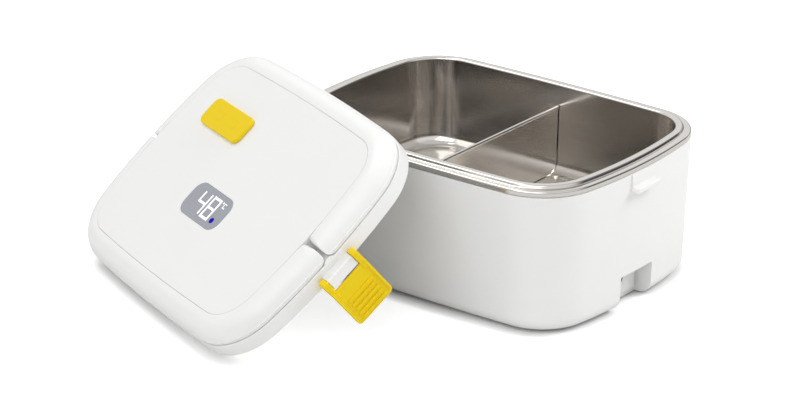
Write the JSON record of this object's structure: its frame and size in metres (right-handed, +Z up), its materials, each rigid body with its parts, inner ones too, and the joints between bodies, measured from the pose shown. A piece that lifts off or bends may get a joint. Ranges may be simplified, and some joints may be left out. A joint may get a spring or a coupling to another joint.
{
  "type": "electric lunch box",
  "caption": "Electric lunch box: white heated base with lift-out steel tray and divider, and a separate latching lid with fold-up handles, vent cap and temperature display, leaning on the base.",
  "frame": {"origin": "middle of the base in the plane of its feet, on the table", "axes": "+Z up, +X along the base towards the end with the power inlet, -Y towards the long side that the lid leans on"},
  "size_m": [0.3355, 0.3174, 0.1238],
  "materials": {
    "white_plastic": "smooth satin",
    "yellow_plastic": "smooth satin",
    "steel": "satin",
    "aluminium": "satin",
    "dark_rubber": "matt",
    "clear_rubber": "soft translucent",
    "fastener_steel": "plain",
    "window_grey": "smooth",
    "digit_white": "lit",
    "light_blue": "lit",
    "board_green": "matt",
    "lead_red": "matt",
    "ceramic": "matt",
    "dark_plastic": "matt"
  },
  "bodies": {
    "base": {"housing": "white_plastic", "inner_shell": "white_plastic", "bottom_cover": "white_plastic", "feet": "dark_rubber", "bottom_screws": "fastener_steel", "heater_plate": "aluminium", "heating_element": "ceramic", "element_bracket": "fastener_steel", "thermostat": "dark_plastic", "thermal_fuse": "ceramic", "supply_leads": "lead_red", "inlet_socket": "white_plastic", "inlet_pins": "fastener_steel"},
    "tray": {"tray": "steel"},
    "divider": {"divider": "steel"},
    "lid": {"lid_ring": "white_plastic", "top_panel": "white_plastic", "inner_plate": "white_plastic", "gasket": "clear_rubber", "lid_screws": "fastener_steel", "handle_pins": "fastener_steel", "clip_pins": "fastener_steel", "display_window": "window_grey", "display_digits": "digit_white", "status_light": "light_blue", "display_board": "board_green", "battery": "fastener_steel", "temperature_probe": "fastener_steel"},
    "front_handle": {"handle_front": "white_plastic"},
    "rear_handle": {"handle_rear": "white_plastic"},
    "near_clip": {"clip_near": "yellow_plastic"},
    "far_clip": {"clip_far": "yellow_plastic"},
    "vent_cap": {"vent_cap": "yellow_plastic"}
  },
  "joints": [
    {"name": "tray_lift", "type": "slide", "parent": "base", "child": "tray", "axis": [0, 0, 1], "range_m": [0, 0.12]},
    {"name": "divider_lift", "type": "slide", "parent": "tray", "child": "divider", "axis": [0, 0, 1], "range_m": [0, 0.065]},
    {"name": "lid_away", "type": "slide", "parent": "tray", "child": "lid", "axis": [-0.2581, -0.588, 0.7666], "range_m": [0, 0.25]},
    {"name": "front_handle_fold", "type": "hinge", "parent": "lid", "child": "front_handle", "pos_m": [-0.09367, -0.14454, 0.06382], "axis": [-0.9234, 0.3834, -0.0168], "range_deg": [0, 90]},
    {"name": "rear_handle_fold", "type": "hinge", "parent": "lid", "child": "rear_handle", "pos_m": [-0.08958, -0.13429, 0.07307], "axis": [0.9234, -0.3834, 0.0168], "range_deg": [0, 90]},
    {"name": "near_clip_swing", "type": "hinge", "parent": "lid", "child": "near_clip", "pos_m": [0.02531, -0.17869, 0.06028], "axis": [-0.2841, -0.7122, -0.6419], "range_deg": [0, 110]},
    {"name": "far_clip_swing", "type": "hinge", "parent": "lid", "child": "far_clip", "pos_m": [-0.20167, -0.08444, 0.05615], "axis": [0.2841, 0.7122, 0.6419], "range_deg": [0, 110]},
    {"name": "vent_cap_pull", "type": "slide", "parent": "lid", "child": "vent_cap", "axis": [-0.2581, -0.588, 0.7666], "range_m": [0, 0.008]}
  ]
}
